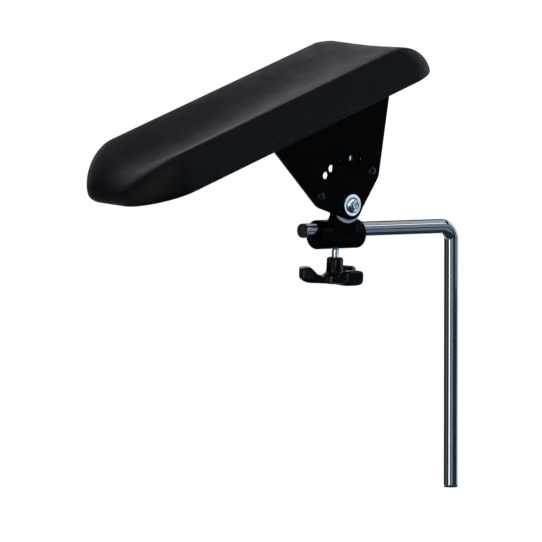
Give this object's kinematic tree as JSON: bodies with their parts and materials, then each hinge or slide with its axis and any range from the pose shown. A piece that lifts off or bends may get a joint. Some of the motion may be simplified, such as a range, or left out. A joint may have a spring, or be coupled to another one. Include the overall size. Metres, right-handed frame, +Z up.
{
  "type": "chair armrest pad",
  "caption": "Trough-shaped moulded forearm pad on a tilting steel bracket, held by a clamp that slides and turns on a bent chromed tube.",
  "frame": {"origin": "centre of the flat lower end of the tube's upright leg, where it stands in its socket", "axes": "+Z up along the leg, +X from the clamp towards the leg along the level arm, +Y away from the side the web plate is on"},
  "size_m": [0.3946, 0.1263, 0.3974],
  "materials": {
    "pad_skin": "matt black moulded foam skin with a fine leather grain",
    "plywood": "raw plywood",
    "black_paint": "satin black powder coat",
    "zinc_plate": "bright zinc plate, slightly blue",
    "chromed_tube": "polished chrome",
    "plug_plastic": "moulded dark plastic",
    "knob_plastic": "semi-gloss moulded black plastic",
    "nylon": "natural nylon",
    "brass": "turned brass"
  },
  "bodies": {
    "rod": {"support_rod": "chromed_tube", "rod_foot_plug": "plug_plastic", "rod_arm_plug": "plug_plastic"},
    "slider": {"sleeve_liner": "nylon"},
    "clamp": {"clamp_body": "black_paint", "pivot_bolt": "zinc_plate", "pivot_washer_front": "zinc_plate", "pivot_friction_disc": "nylon", "pivot_washer_back": "zinc_plate", "pivot_lock_nut": "zinc_plate"},
    "cradle": {"pad_bracket": "black_paint", "stop_stud_low_side": "black_paint", "stop_stud_high_side": "black_paint", "pad_screw_1": "zinc_plate", "pad_screw_2": "zinc_plate", "pad_screw_3": "zinc_plate", "pad_screw_4": "zinc_plate", "pad_screw_washer_1": "zinc_plate", "pad_screw_washer_2": "zinc_plate", "pad_screw_washer_3": "zinc_plate", "pad_screw_washer_4": "zinc_plate", "pad_tee_nut_1": "zinc_plate", "pad_tee_nut_2": "zinc_plate", "pad_tee_nut_3": "zinc_plate", "pad_tee_nut_4": "zinc_plate", "pad_core_board": "plywood", "pad_foam": "pad_skin"},
    "clamp_slug": {"clamp_pressure_slug": "brass"},
    "knob": {"clamp_knob": "knob_plastic", "clamp_knob_stud": "zinc_plate"},
    "lock_washer": {"lock_screw_washer": "zinc_plate"},
    "lock_screw": {"lock_screw": "zinc_plate"}
  },
  "joints": [
    {"name": "clamp_slide", "type": "slide", "parent": "rod", "child": "slider", "axis": [1, 0, 0], "range_m": [-0.014, 0.06]},
    {"name": "clamp_turn", "type": "hinge", "parent": "slider", "child": "clamp", "pos_m": [-0.1376, 0, 0.233], "axis": [1, 0, 0], "range_deg": [-90, 90]},
    {"name": "tilt", "type": "hinge", "parent": "clamp", "child": "cradle", "pos_m": [-0.1376, -0.00161, 0.25604], "axis": [0, -0.9976, -0.0698], "range_deg": [-48, 12]},
    {"name": "clamp_screw_travel", "type": "slide", "parent": "clamp", "child": "clamp_slug", "axis": [0, -0.0698, 0.9976], "range_m": [-0.003, 0]},
    {"name": "knob_turn", "type": "hinge", "parent": "clamp_slug", "child": "knob", "pos_m": [-0.1376, 0, 0.233], "axis": [0, -0.0698, 0.9976], "range_deg": [-1080, 0]},
    {"name": "lock_screw_travel", "type": "slide", "parent": "clamp", "child": "lock_washer", "axis": [0, -0.9976, -0.0698], "range_m": [0, 0.003]},
    {"name": "lock_screw_turn", "type": "hinge", "parent": "lock_washer", "child": "lock_screw", "pos_m": [-0.13912, -0.00443, 0.29632], "axis": [0, -0.9976, -0.0698], "range_deg": [0, 1080]}
  ],
  "couplings": [
    {"joint": "clamp_screw_travel", "follows": "knob_turn", "m_per_rad": 0.00015915},
    {"joint": "lock_screw_turn", "follows": "lock_screw_travel", "rad_per_m": 6283.2}
  ]
}
